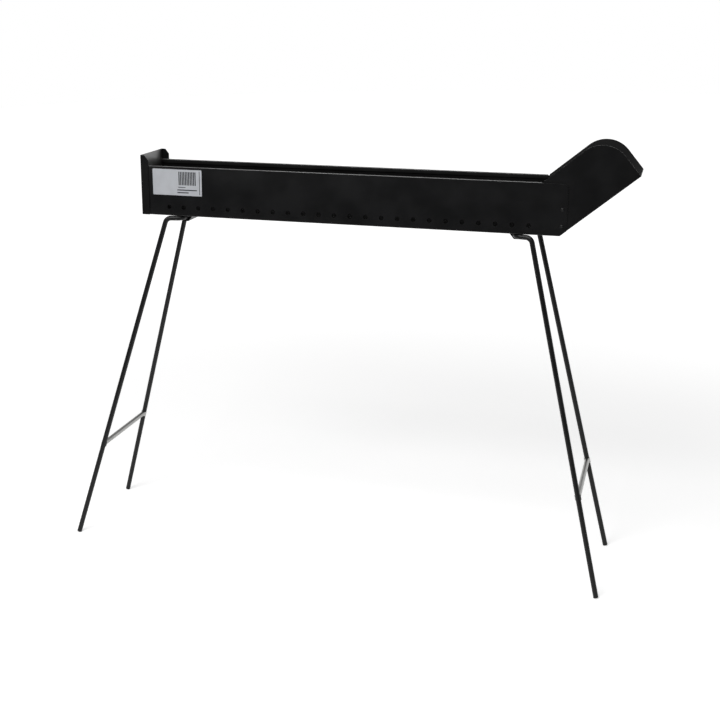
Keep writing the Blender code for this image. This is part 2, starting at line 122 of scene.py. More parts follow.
class GrillPaintSettings(bpy.types.PropertyGroup):
    sheet_colour: FloatVectorProperty(
        name="Sheet paint", description="Colour of the paint on trough, end plate and chute",
        subtype="COLOR", size=3, min=0, max=1, default=(0.0036, 0.0036, 0.0039),
    )
    rod_colour: FloatVectorProperty(
        name="Rod paint", description="Colour of the paint on the leg frames",
        subtype="COLOR", size=3, min=0, max=1, default=(0.0060, 0.0060, 0.0063),
    )
    strap_colour: FloatVectorProperty(
        name="Strap paint", description="Colour of the paint on the straps under the trough",
        subtype="COLOR", size=3, min=0, max=1, default=(0.0100, 0.0100, 0.0105),
    )
    rivet_colour: FloatVectorProperty(
        name="Rivet paint", description="Colour of the painted rivet heads",
        subtype="COLOR", size=3, min=0, max=1, default=(0.0055, 0.0055, 0.0058),
    )
    # Painted shade: the trough's inner side takes this flat colour, without the paint's lighter clouds,
    # to stand in for the shade inside it.
    inside_shade_colour: FloatVectorProperty(
        name="Inside shade", description="Colour of the trough's inner side",
        subtype="COLOR", size=3, min=0, max=1, default=(0.0036, 0.0036, 0.0036),
    )
    # Painted light: the chute's inner side is made lighter than its paint, to stand in for light in its
    # shaded inside.
    inside_light_colour: FloatVectorProperty(
        name="Inside light", description="Colour of the chute's inner side",
        subtype="COLOR", size=3, min=0, max=1, default=(0.0150, 0.0150, 0.0152),
    )
    grain: FloatProperty(
        name="Grain", description="Width of the paint's fine ripples",
        unit="LENGTH", min=0.0002, max=0.01, default=0.0012,
    )
    clouds: FloatProperty(
        name="Clouds", description="Width of the patches in which the paint's gloss varies",
        unit="LENGTH", min=0.005, max=0.5, default=0.060,
    )
    edge: FloatProperty(
        name="Edge rounding", description="Radius to which paint rounds a cut edge",
        unit="LENGTH", min=0.0001, max=0.003, default=0.0005,
    )


class GrillZincSettings(bpy.types.PropertyGroup):
    colour: FloatVectorProperty(
        name="Zinc", description="Colour of the plating on the braces",
        subtype="COLOR", size=3, min=0, max=1, default=(0.42, 0.42, 0.41),
    )
    lines: FloatProperty(
        name="Draw lines", description="Width of the lines that drawing left along the bar",
        unit="LENGTH", min=0.0001, max=0.005, default=0.0006,
    )


class GrillPlateSettings(bpy.types.PropertyGroup):
    width: FloatProperty(
        name="Width", description="Width of the plate on the near wall",
        unit="LENGTH", min=0.02, max=0.3, default=0.1004,
    )
    height: FloatProperty(
        name="Height", description="Height of the plate on the near wall",
        unit="LENGTH", min=0.01, max=0.08, default=0.0499,
    )
    setback: FloatProperty(
        name="From the end", description="From the trough's left end to the plate",
        unit="LENGTH", min=0, max=0.5, default=0.0230,
    )
    rise: FloatProperty(
        name="Above the floor", description="From the underside of the trough to the plate",
        unit="LENGTH", min=0, max=0.1, default=0.0398,
    )
    film_colour: FloatVectorProperty(
        name="Film", description="Colour of the plate's pale film",
        subtype="COLOR", size=3, min=0, max=1, default=(0.530, 0.545, 0.575),
    )
    ink_colour: FloatVectorProperty(
        name="Ink", description="Colour of the printed bars and rules",
        subtype="COLOR", size=3, min=0, max=1, default=(0.018, 0.019, 0.021),
    )
    bars: IntProperty(
        name="Bars", description="Number of equal bars in the plate's upper right",
        min=0, max=60, default=11,
    )


class GrillWeldSettings(bpy.types.PropertyGroup):
    along_leg: FloatProperty(
        name="Along the leg", description="Length of a weld fillet along the leg",
        unit="LENGTH", min=0.001, max=0.03, default=0.0090,
    )
    along_bar: FloatProperty(
        name="Along the bar", description="Length of a weld fillet along the brace",
        unit="LENGTH", min=0.001, max=0.03, default=0.0052,
    )
    width: FloatProperty(
        name="Width", description="Width of a weld fillet across leg and brace",
        unit="LENGTH", min=0.001, max=0.02, default=0.0062,
    )


class GrillStageSettings(bpy.types.PropertyGroup):
    floor_colour: FloatVectorProperty(
        name="Floor", description="Colour of the floor",
        subtype="COLOR", size=3, min=0, max=1, default=(0.80, 0.80, 0.80),
    )
    near_lift: FloatProperty(
        name="Lift near", description="What the floor shows of its own round the grill",
        min=0, max=1, default=0.52,
    )
    far_lift: FloatProperty(
        name="Lift far", description="What the floor shows of its own far from the lamps",
        min=0, max=1, default=0.90,
    )
    lamp_power: FloatProperty(
        name="Lamp", description="Power of the wide lamp overhead",
        unit="POWER", min=0, max=500, default=28.0,
    )
    front_power: FloatProperty(
        name="Front lamp", description="Power of the wide lamp high in front",
        unit="POWER", min=0, max=500, default=54.0,
    )
    backdrop: FloatProperty(
        name="Backdrop", description="Brightness of the backdrop behind the grill, where 1 is white",
        min=0, max=4, default=1.0,
    )
    room: FloatProperty(
        name="Room", description="Brightness of the room in front of the grill",
        min=0, max=4, default=0.12,
    )
    ceiling: FloatProperty(
        name="Ceiling", description="What is left of backdrop and room towards the ceiling",
        min=0, max=1, default=0.30,
    )


# Shader node groups

def new_group(name, inputs, outputs):
    tree = bpy.data.node_groups.new(name, "ShaderNodeTree")
    for label, kind, value in inputs:
        socket = tree.interface.new_socket(label, in_out="INPUT", socket_type=kind)
        if value is not None:
            socket.default_value = value
    for label, kind in outputs:
        tree.interface.new_socket(label, in_out="OUTPUT", socket_type=kind)
    return tree, tree.nodes.new("NodeGroupInput"), tree.nodes.new("NodeGroupOutput")


def node(tree, kind, values=None, links=None, **settings):
    """New node with its settings, its inputs' values and what feeds its inputs."""
    made = tree.nodes.new(kind)
    for key, value in settings.items():
        setattr(made, key, value)
    for key, value in (values or {}).items():
        made.inputs[key].default_value = value
    for key, source in (links or {}).items():
        tree.links.new(source, made.inputs[key])
    return made


def place_group(tree, group, values, links):
    return node(tree, "ShaderNodeGroup", values, links, node_tree=group)


def one_over(tree, size):
    """Scale of a texture whose features are as wide as size."""
    return node(tree, "ShaderNodeMath", {0: 1.0}, {1: size}, operation="DIVIDE").outputs[0]


def paint_grain_group():
    """Fine ripples of baked paint, and wide clouds in its gloss."""
    name = "Paint grain"
    if name in bpy.data.node_groups:
        return bpy.data.node_groups[name]
    tree, given, result = new_group(
        name,
        [
            ("Vector", "NodeSocketVector", None),
            ("Grain Size", "NodeSocketFloat", 0.0012),
            ("Cloud Size", "NodeSocketFloat", 0.06),
        ],
        [("Height", "NodeSocketFloat"), ("Clouds", "NodeSocketFloat")],
    )
    where = given.outputs["Vector"]
    fine = one_over(tree, given.outputs["Grain Size"])
    wide = one_over(tree, given.outputs["Cloud Size"])
    ripple = node(
        tree, "ShaderNodeTexNoise", {"Detail": 2.0, "Roughness": 0.45},
        {"Vector": where, "Scale": fine},
    )
    pits = node(
        tree, "ShaderNodeTexVoronoi", {"Randomness": 1.0, "Smoothness": 0.8},
        {"Vector": where, "Scale": fine}, feature="SMOOTH_F1",
    )
    height = node(
        tree, "ShaderNodeMath", {1: 0.45}, {0: pits.outputs["Distance"], 2: ripple.outputs["Fac"]},
        operation="MULTIPLY_ADD",
    )
    cloud = node(
        tree, "ShaderNodeTexNoise", {"Detail": 5.0, "Roughness": 0.55},
        {"Vector": where, "Scale": wide},
    )
    spread = node(
        tree, "ShaderNodeMapRange", {"From Min": 0.32, "From Max": 0.68},
        {"Value": cloud.outputs["Fac"]}, interpolation_type="SMOOTHSTEP",
    )
    tree.links.new(height.outputs[0], result.inputs["Height"])
    tree.links.new(spread.outputs["Result"], result.inputs["Clouds"])
    return tree


def rubbed_edge_group():
    """Mask of the edges that hands and packing rub, broken up along their length."""
    name = "Rubbed edge"
    if name in bpy.data.node_groups:
        return bpy.data.node_groups[name]
    tree, given, result = new_group(
        name,
        [
            ("Vector", "NodeSocketVector", None),
            ("Width", "NodeSocketFloat", 0.0005),
            ("Break Size", "NodeSocketFloat", 0.01),
        ],
        [("Mask", "NodeSocketFloat"), ("Normal", "NodeSocketVector")],
    )
    soft = node(tree, "ShaderNodeBevel", links={"Radius": given.outputs["Width"]}, samples=4)
    real = node(tree, "ShaderNodeNewGeometry")
    same = node(
        tree, "ShaderNodeVectorMath", links={0: soft.outputs["Normal"], 1: real.outputs["Normal"]},
        operation="DOT_PRODUCT",
    )
    turn = node(
        tree, "ShaderNodeMapRange", {"From Min": 0.995, "From Max": 0.86},
        {"Value": same.outputs["Value"]}, interpolation_type="SMOOTHSTEP",
    )
    breaks = node(
        tree, "ShaderNodeTexNoise", {"Detail": 3.0, "Roughness": 0.6},
        {"Vector": given.outputs["Vector"], "Scale": one_over(tree, given.outputs["Break Size"])},
    )
    gaps = node(
        tree, "ShaderNodeMapRange", {"From Min": 0.42, "From Max": 0.62},
        {"Value": breaks.outputs["Fac"]},
    )
    mask = node(
        tree, "ShaderNodeMath", links={0: turn.outputs["Result"], 1: gaps.outputs["Result"]},
        operation="MULTIPLY",
    )
    tree.links.new(mask.outputs[0], result.inputs["Mask"])
    tree.links.new(soft.outputs["Normal"], result.inputs["Normal"])
    return tree


def drawn_line_group():
    """Fine lines along the object's Y axis, and pale clouds, of drawn and plated bar."""
    name = "Drawn lines"
    if name in bpy.data.node_groups:
        return bpy.data.node_groups[name]
    tree, given, result = new_group(
        name,
        [
            ("Vector", "NodeSocketVector", None),
            ("Line Size", "NodeSocketFloat", 0.0006),
            ("Cloud Size", "NodeSocketFloat", 0.012),
        ],
        [("Lines", "NodeSocketFloat"), ("Clouds", "NodeSocketFloat")],
    )
    where = given.outputs["Vector"]
    fine = one_over(tree, given.outputs["Line Size"])
    wide = one_over(tree, given.outputs["Cloud Size"])
    drawn = node(tree, "ShaderNodeMapping", {"Scale": (1.0, 0.02, 1.0)}, {"Vector": where})
    lines = node(
        tree, "ShaderNodeTexNoise", {"Detail": 2.0, "Roughness": 0.6},
        {"Vector": drawn.outputs["Vector"], "Scale": fine},
    )
    cloud = node(
        tree, "ShaderNodeTexNoise", {"Detail": 4.0, "Roughness": 0.55},
        {"Vector": where, "Scale": wide},
    )
    spread = node(
        tree, "ShaderNodeMapRange", {"From Min": 0.30, "From Max": 0.70},
        {"Value": cloud.outputs["Fac"]},
    )
    tree.links.new(lines.outputs["Fac"], result.inputs["Lines"])
    tree.links.new(spread.outputs["Result"], result.inputs["Clouds"])
    return tree


def sheet_mask_group():
    """Masks of a folded sheet's inner side, of its upper rim and of a ring round each of a row of holes,
    where painted shade goes.
    """
    name = "Sheet masks"
    if name in bpy.data.node_groups:
        return bpy.data.node_groups[name]
    tree, given, result = new_group(
        name,
        [
            ("Vector", "NodeSocketVector", None),
            ("Half Width", "NodeSocketFloat", 0.0488),
            ("Floor Height", "NodeSocketFloat", 0.66),
            ("Rim Height", "NodeSocketFloat", 0.75),
            ("First Hole", "NodeSocketFloat", 0.0),
            ("Hole Pitch", "NodeSocketFloat", 0.03),
            ("Last Hole", "NodeSocketFloat", 23.0),
            ("Hole Height", "NodeSocketFloat", 0.67),
            ("Hole Radius", "NodeSocketFloat", 0.003),
        ],
        [("Inside", "NodeSocketFloat"), ("Rim", "NodeSocketFloat"), ("Holes", "NodeSocketFloat")],
    )

    def work(operation, *sources):
        """Math node whose inputs are sockets or plain numbers."""
        links = {i: v for i, v in enumerate(sources) if isinstance(v, bpy.types.NodeSocket)}
        values = {i: v for i, v in enumerate(sources) if i not in links}
        return node(tree, "ShaderNodeMath", values, links, operation=operation).outputs[0]

    parts = node(tree, "ShaderNodeSeparateXYZ", links={"Vector": given.outputs["Vector"]})
    x, y, z = (parts.outputs[key] for key in "XYZ")
    between = work("LESS_THAN", work("ABSOLUTE", y), given.outputs["Half Width"])
    above = work("GREATER_THAN", z, given.outputs["Floor Height"])
    inside = work("MULTIPLY", between, above)
    rim = work("GREATER_THAN", z, given.outputs["Rim Height"])
    along = work("SUBTRACT", x, given.outputs["First Hole"])
    turns = work("DIVIDE", along, given.outputs["Hole Pitch"])
    nearest = work("MINIMUM", work("MAXIMUM", work("ROUND", turns), 0.0), given.outputs["Last Hole"])
    aside = work("MULTIPLY", work("SUBTRACT", turns, nearest), given.outputs["Hole Pitch"])
    up = work("SUBTRACT", z, given.outputs["Hole Height"])
    far = work("SQRT", work("ADD", work("MULTIPLY", aside, aside), work("MULTIPLY", up, up)))
    ratio = work("DIVIDE", far, given.outputs["Hole Radius"])
    # Painted shade: 1 in a ring out to 1.42 times each hole's radius, standing in for the dark seen
    # through the hole
    holes = node(
        tree, "ShaderNodeMapRange", {"From Min": 1.42, "From Max": 1.08}, {"Value": ratio},
        interpolation_type="SMOOTHSTEP",
    )
    tree.links.new(inside, result.inputs["Inside"])
    tree.links.new(rim, result.inputs["Rim"])
    tree.links.new(holes.outputs["Result"], result.inputs["Holes"])
    return tree


# Materials

def empty_material(name):
    material = bpy.data.materials.new(name)
    material.use_nodes = True
    tree = material.node_tree
    shader = tree.nodes["Principled BSDF"]
    where = tree.nodes.new("ShaderNodeTexCoord").outputs["Object"]
    return material, tree, shader, where


def spread_value(tree, mask, low, high):
    """Value between low and high that follows mask."""
    made = node(tree, "ShaderNodeMapRange", {"To Min": low, "To Max": high}, {"Value": mask})
    return made.outputs["Result"]


def blend_colours(tree, mask, first, second):
    made = tree.nodes.new("ShaderNodeMix")
    made.data_type = "RGBA"
    tree.links.new(mask, made.inputs["Factor"])
    for socket, colour in (("A", first), ("B", second)):
        target = next(s for s in made.inputs if s.name == socket and s.type == "RGBA")
        if isinstance(colour, bpy.types.NodeSocket):
            tree.links.new(colour, target)
        else:
            target.default_value = (*colour, 1.0)
    return next(s for s in made.outputs if s.type == "RGBA")


def satin_paint(
    name, colour, gloss_low, gloss_high, ripple=0.35, shine=0.28, masks=None, inner=None, glaze=None,
):
    """Baked satin paint: rippled, cloudy in its gloss, a little lighter at rubbed edges.

    gloss_low and gloss_high bound its roughness, and shine is its specular level.
    masks holds values for the sheet masks: their inner side takes the colour inner, which
    is painted shade in the trough and painted light in the chute; the rims of their holes,
    where they are given, turn black and shine no more, as painted shade.
    glaze names the mask that a polished coat follows, its strength and its roughness.
    """
    settings = bpy.context.scene.grill_paint
    material, tree, shader, where = empty_material(name)
    grain = place_group(
        tree, paint_grain_group(), {"Grain Size": settings.grain, "Cloud Size": settings.clouds},
        {"Vector": where},
    )
    edge = place_group(
        tree, rubbed_edge_group(), {"Width": settings.edge, "Break Size": 0.012}, {"Vector": where},
    )
    lighter = tuple(value * 1.5 + 0.0004 for value in colour)
    rubbed = tuple(value * 2.0 + 0.003 for value in colour)
    body = blend_colours(tree, grain.outputs["Clouds"], colour, lighter)
    coat = blend_colours(tree, edge.outputs["Mask"], body, rubbed)
    rough = spread_value(tree, grain.outputs["Clouds"], gloss_low, gloss_high)
    if masks:
        sheet = place_group(tree, sheet_mask_group(), masks, {"Vector": where})
        # The inner side takes the colour inner: painted shade in the trough, painted light in the chute.
        coat = blend_colours(tree, sheet.outputs["Inside"], coat, inner)
        # Painted shade: black without shine in a ring round each air hole.
        if "Hole Radius" in masks:
            coat = blend_colours(tree, sheet.outputs["Holes"], coat, (0.0, 0.0, 0.0))
            tree.links.new(sheet.outputs["Holes"], shader.inputs["Metallic"])
        if glaze:
            mask, strength, roughness = glaze
            weight = spread_value(tree, sheet.outputs[mask], 0.0, strength)
            tree.links.new(weight, shader.inputs["Coat Weight"])
            shader.inputs["Coat Roughness"].default_value = roughness
            shader.inputs["Coat IOR"].default_value = GLAZE_IOR
    tree.links.new(coat, shader.inputs["Base Color"])
    tree.links.new(rough, shader.inputs["Roughness"])
    bump = node(
        tree, "ShaderNodeBump", {"Strength": ripple, "Distance": 0.00004},
        {"Height": grain.outputs["Height"], "Normal": edge.outputs["Normal"]},
    )
    tree.links.new(bump.outputs["Normal"], shader.inputs["Normal"])
    shader.inputs["Specular IOR Level"].default_value = shine
    return material


def bright_zinc(name):
    """Plated drawn bar: metal with fine lines, cloudy in colour and gloss."""
    settings = bpy.context.scene.grill_zinc
    material, tree, shader, where = empty_material(name)
    drawn = place_group(
        tree, drawn_line_group(), {"Line Size": settings.lines, "Cloud Size": 0.014}, {"Vector": where},
    )
    edge = place_group(
        tree, rubbed_edge_group(), {"Width": 0.0003, "Break Size": 0.006}, {"Vector": where},
    )
    base = tuple(settings.colour)
    dull = tuple(value * 0.80 for value in base)
    worn = tuple(min(value * 1.12, 1.0) for value in base)
    body = blend_colours(tree, drawn.outputs["Clouds"], dull, base)
    plating = blend_colours(tree, edge.outputs["Mask"], body, worn)
    rough = spread_value(tree, drawn.outputs["Lines"], 0.30, 0.42)
    tree.links.new(plating, shader.inputs["Base Color"])
    tree.links.new(rough, shader.inputs["Roughness"])
    shader.inputs["Metallic"].default_value = 1.0
    bump = node(
        tree, "ShaderNodeBump", {"Strength": 0.4, "Distance": 0.00003},
        {"Height": drawn.outputs["Lines"], "Normal": edge.outputs["Normal"]},
    )
    tree.links.new(bump.outputs["Normal"], shader.inputs["Normal"])
    return material


def film_finish(name, colour, roughness):
    """Printed or plain laminate film with faint clouds and a trace of grain."""
    material, tree, shader, where = empty_material(name)
    grain = place_group(
        tree, paint_grain_group(), {"Grain Size": 0.0007, "Cloud Size": 0.018}, {"Vector": where},
    )
    soiled = tuple(value * 0.93 for value in colour)
    base = blend_colours(tree, grain.outputs["Clouds"], soiled, colour)
    rough = spread_value(tree, grain.outputs["Clouds"], roughness, roughness + 0.10)
    tree.links.new(base, shader.inputs["Base Color"])
    tree.links.new(rough, shader.inputs["Roughness"])
    bump = node(
        tree, "ShaderNodeBump", {"Strength": 0.25, "Distance": 0.00002},
        {"Height": grain.outputs["Height"]},
    )
    tree.links.new(bump.outputs["Normal"], shader.inputs["Normal"])
    return material


# Smooth bends

def smooth_bend_group():
    """Modifier tree: joins doubled points and shades bends smooth, sharp past a given angle."""
    name = "Smooth bends"
    if name in bpy.data.node_groups:
        return bpy.data.node_groups[name]
    tree = bpy.data.node_groups.new(name, "GeometryNodeTree")
    tree.interface.new_socket("Geometry", in_out="INPUT", socket_type="NodeSocketGeometry")
    limit = tree.interface.new_socket("Sharp Past", in_out="INPUT", socket_type="NodeSocketFloat")
    limit.default_value = radians(38)
    tree.interface.new_socket("Geometry", in_out="OUTPUT", socket_type="NodeSocketGeometry")
    given = tree.nodes.new("NodeGroupInput")
    result = tree.nodes.new("NodeGroupOutput")
    joined = node(
        tree, "GeometryNodeMergeByDistance", {"Distance": 0.000002},
        {"Geometry": given.outputs["Geometry"]},
    )
    angle = node(tree, "GeometryNodeInputMeshEdgeAngle")
    sharp = node(
        tree, "FunctionNodeCompare",
        links={"A": angle.outputs["Unsigned Angle"], "B": given.outputs["Sharp Past"]},
        data_type="FLOAT", operation="GREATER_THAN",
    )
    shaded = node(
        tree, "GeometryNodeSetMeshNormal", {"Remove Custom": True},
        {"Mesh": joined.outputs["Geometry"], "Edge Sharpness": sharp.outputs["Result"]},
        mode="SHARPNESS",
    )
    tree.links.new(shaded.outputs["Mesh"], result.inputs["Geometry"])
    return tree


def dress(names, material):
    """Give CAD nodes a finish and smooth bends."""
    for name in names:
        piece = NODES[name]
        piece.material_slots[0].material = material
        modifier = piece.modifiers.new("smooth bends", "NODES")
        modifier.node_group = smooth_bend_group()


# Meshes

def link_mesh(name, edit, material):
    bmesh.ops.recalc_face_normals(edit, faces=edit.faces)
    mesh = bpy.data.meshes.new(name)
    edit.to_mesh(mesh)
    edit.free()
    mesh.materials.append(material)
    piece = bpy.data.objects.new(name, mesh)
    bpy.context.scene.collection.objects.link(piece)
    return piece


def rounded_rectangle(width, height, radius, steps=6):
    """Corner points of a rectangle round the origin, with round corners."""
    points = []
    for turn, (u, v) in enumerate(((1, 1), (-1, 1), (-1, -1), (1, -1))):
        centre = Vector((u * (width / 2 - radius), v * (height / 2 - radius)))
        for step in range(steps + 1):
            angle = pi / 2 * (turn + step / steps)
            points.append(centre + Vector((cos(angle), sin(angle))) * radius)
    return points


def skin_rings(edit, rings):
    """Faces between the rings in their order, and a face over each end."""
    for low, high in zip(rings, rings[1:]):
        for index in range(len(low)):
            after = (index + 1) % len(low)
            edit.faces.new((low[index], low[after], high[after], high[index]))
    edit.faces.new(rings[0])
    edit.faces.new(rings[-1])


def add_slab(edit, outline, middle, back, front, crown):
    """Flat slab in a plane that faces -Y, with its front rim rounded over by crown."""
    def inward(value, shrink):
        return min(max(-value, -shrink), shrink)

    def ring(shrink, y):
        return [
            edit.verts.new((
                middle[0] + point.x + inward(point.x, shrink), y,
                middle[1] + point.y + inward(point.y, shrink),
            ))
            for point in outline
        ]

    skin_rings(edit, [
        ring(0, back), ring(0, front + crown),
        ring(crown * 0.3, front + crown * 0.3), ring(crown, front),
    ])


# Operators

class GRILL_OT_paint_sheets(bpy.types.Operator):
    """Paint the trough, the end plate and the chute satin black"""

    bl_idname = "grill.paint_sheets"
    bl_label = "Paint the sheets"

    def execute(self, context):
        settings = context.scene.grill_paint
        colour = tuple(settings.sheet_colour)
        low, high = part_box("trough")
        masks = {
            "Half Width": high.y - SHEET_SKIN,
            "Floor Height": low.z + SHEET_SKIN,
            "Rim Height": high.z - RIM_SKIN,
            "First Hole": low.x + AIR_HOLE_INSET,
            "Hole Pitch": AIR_HOLE_PITCH,
            "Last Hole": AIR_HOLES - 1,
            "Hole Height": low.z + AIR_HOLE_HEIGHT,
            "Hole Radius": AIR_HOLE / 2,
        }
        # The trough's inner side takes painted shade, and a painted black ring of shade lies round each
        # air hole.
        dress(["trough"], satin_paint(
            "trough_satin_paint", colour, 0.34, 0.42,
            masks=masks, inner=tuple(settings.inside_shade_colour), glaze=RIM_GLAZE,
        ))
        low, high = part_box("end_plate")
        masks = {"Half Width": high.y - END_PLATE_SKIN, "Floor Height": low.z + END_PLATE_SKIN}
        dress(["end_plate"], satin_paint(
            "end_plate_satin_paint", colour, 0.28, 0.34, shine=0.40,
            masks=masks, inner=colour, glaze=END_PLATE_GLAZE,
        ))
        low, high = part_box("chute")
        masks = {"Half Width": high.y - SHEET_SKIN, "Floor Height": low.z + SHEET_SKIN}
        # The chute's inner side takes painted light.
        dress(["chute"], satin_paint(
            "chute_satin_paint", colour, 0.36, 0.44, masks=masks, inner=tuple(settings.inside_light_colour),
        ))
        return {"FINISHED"}


class GRILL_OT_paint_rivets(bpy.types.Operator):
    """Paint the twelve rivets"""

    bl_idname = "grill.paint_rivets"
    bl_label = "Paint the rivets"

    def execute(self, context):
        colour = tuple(context.scene.grill_paint.rivet_colour)
        rivets = [name for name in NODES if "rivet" in name]
        dress(rivets, satin_paint("rivet_satin_paint", colour, 0.30, 0.40))
        return {"FINISHED"}


class GRILL_OT_paint_straps(bpy.types.Operator):
    """Paint the two straps that hold the cross rods"""

    bl_idname = "grill.paint_straps"
    bl_label = "Paint the straps"

    def execute(self, context):
        colour = tuple(context.scene.grill_paint.strap_colour)
        straps = [f"{side}_leg_strap" for side in SIDES]
        dress(straps, satin_paint("strap_satin_paint", colour, 0.38, 0.48))
        return {"FINISHED"}


class GRILL_OT_paint_legs(bpy.types.Operator):
    """Paint the two bent rod leg frames"""

    bl_idname = "grill.paint_legs"
    bl_label = "Paint the legs"

    def execute(self, context):
        colour = tuple(context.scene.grill_paint.rod_colour)
        legs = [f"{side}_leg_frame" for side in SIDES]
        dress(legs, satin_paint("leg_satin_paint", colour, 0.34, 0.46, shine=0.26))
        return {"FINISHED"}


class GRILL_OT_plate_braces(bpy.types.Operator):
    """Plate the two braces with bright zinc"""

    bl_idname = "grill.plate_braces"
    bl_label = "Plate the braces"

    def execute(self, context):
        braces = [f"{side}_leg_brace" for side in SIDES]
        dress(braces, bright_zinc("brace_bright_zinc"))
        return {"FINISHED"}


class GRILL_OT_weld_braces(bpy.types.Operator):
    """Lay a painted weld fillet at each end of each brace, under the near end and over the far end"""

    bl_idname = "grill.weld_braces"
    bl_label = "Weld the braces"

    def execute(self, context):
        colour = tuple(context.scene.grill_paint.rod_colour)
        material = satin_paint("weld_satin_paint", colour, 0.38, 0.50, ripple=0.6)
        for side in SIDES:
            low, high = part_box(f"{side}_leg_brace")
            middle = (low + high) / 2
            for place, sign, up in (("near", -1, -1), ("far", 1, 1)):
                joint = Vector((middle.x, sign * LEG_SPREAD_AT_BRACE[side] / 2, middle.z))
                down = Vector((tan(LEG_SPLAY[side]), sign * tan(LEG_SIDE_SPLAY), -1)).normalized()
                bar = Vector((0, -sign, 0))
                bar_square = (bar - down * bar.dot(down)).normalized()
                piece = self.fillet(
                    f"{side}_{place}_brace_weld", joint, down * -up, bar, bar_square, material,
                )
                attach(piece, f"{side}_leg")
        return {"FINISHED"}

    def fillet(self, name, joint, along_leg, along_bar, off_leg, material):
        """Hollow-faced fillet in the corner between a leg and its brace, rippled across."""
        settings = bpy.context.scene.grill_weld
        across = along_leg.cross(along_bar).normalized()
        leg_skin = ROD / 2 - WELD_INTO_LEG
        bar_skin = ROD / 2 - WELD_INTO_BAR
        edit = bmesh.new()
        rings = []
        for index in range(WELD_SLICES + 1):
            offset = -1 + 2 * index / WELD_SLICES
            swell = sqrt(1 - (offset * WELD_ROUND) ** 2) * (1 + WELD_RIPPLE * cos(index * pi))
            aside = offset * settings.width / 2
            drop = sqrt(max((ROD / 2) ** 2 - aside * aside, 0)) - ROD / 2
            corner = joint + across * aside
            corner += off_leg * (leg_skin + drop) + along_leg * (bar_skin + drop)
            ring = [edit.verts.new(corner - off_leg * WELD_ROOT - along_leg * WELD_ROOT)]
            reach_leg = settings.along_leg * (WELD_END + (1 - WELD_END) * swell)
            reach_bar = settings.along_bar * (WELD_END + (1 - WELD_END) * swell)
            for step in range(WELD_STEPS + 1):
                angle = pi / 2 * step / WELD_STEPS
                u = reach_bar * (1 - sin(angle) ** WELD_HOLLOW) if step < WELD_STEPS else 0
                v = reach_leg * (1 - cos(angle) ** WELD_HOLLOW) if step else 0
                ring.append(edit.verts.new(corner + along_bar * u + along_leg * v))
            rings.append(ring)
        skin_rings(edit, rings)
        piece = link_mesh(name, edit, material)
        piece.data.shade_smooth()
        rounding = piece.modifiers.new("soft weld", "SUBSURF")
        rounding.levels = rounding.render_levels = 1
        return piece


class GRILL_OT_fit_plate(bpy.types.Operator):
    """Fit the pale wall plate with its plain bars and rules"""

    bl_idname = "grill.fit_plate"
    bl_label = "Fit the wall plate"

    def execute(self, context):
        settings = context.scene.grill_plate
        low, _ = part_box("trough")
        wall = low.y
        width, height = settings.width, settings.height
        middle = (low.x + settings.setback + width / 2, low.z + settings.rise + height / 2)

        def at(across, up):
            """Place on the plate, in shares of its size from its middle."""
            return middle[0] + width * across, middle[1] + height * up

        def add_print(edit, outline, place):
            back = wall - PRINT_BACK
            add_slab(edit, outline, place, back, back - PRINT_THICKNESS, PRINT_CROWN)

        film = film_finish("plate_pale_film", tuple(settings.film_colour), 0.36)
        ink = film_finish("plate_grey_ink", tuple(settings.ink_colour), 0.42)
        edit = bmesh.new()
        outline = rounded_rectangle(width, height, PLATE_CORNER)
        add_slab(edit, outline, middle, wall - FILM_BACK, wall - FILM_FRONT, FILM_CROWN)
        pieces = [link_mesh("wall_plate", edit, film)]
        rules = bmesh.new()
        for up, start, length, thick in RULES:
            rule = rounded_rectangle(width * length, thick, RULE_CORNER, 3)
            add_print(rules, rule, at(start + length / 2, up))
        border = rounded_rectangle(BORDER_THICKNESS, height * BORDER_LENGTH, BORDER_CORNER, 2)
        add_print(rules, border, at(BORDER_AT, 0))
        pieces.append(link_mesh("wall_plate_rules", rules, ink))
        if settings.bars:
            bars = bmesh.new()
            (left, foot), (right, top) = at(BARS_LEFT, BARS_FOOT), at(BARS_RIGHT, BARS_TOP)
            pitch = (right - left) / settings.bars
            for index in range(settings.bars):
                bar = rounded_rectangle(pitch * BAR_SHARE, top - foot, BAR_CORNER, 2)
                add_print(bars, bar, (left + pitch * (index + 0.5), (top + foot) / 2))
            pieces.append(link_mesh("wall_plate_bars", bars, ink))
        for piece in pieces:
            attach(piece, "trough_body")
        return {"FINISHED"}


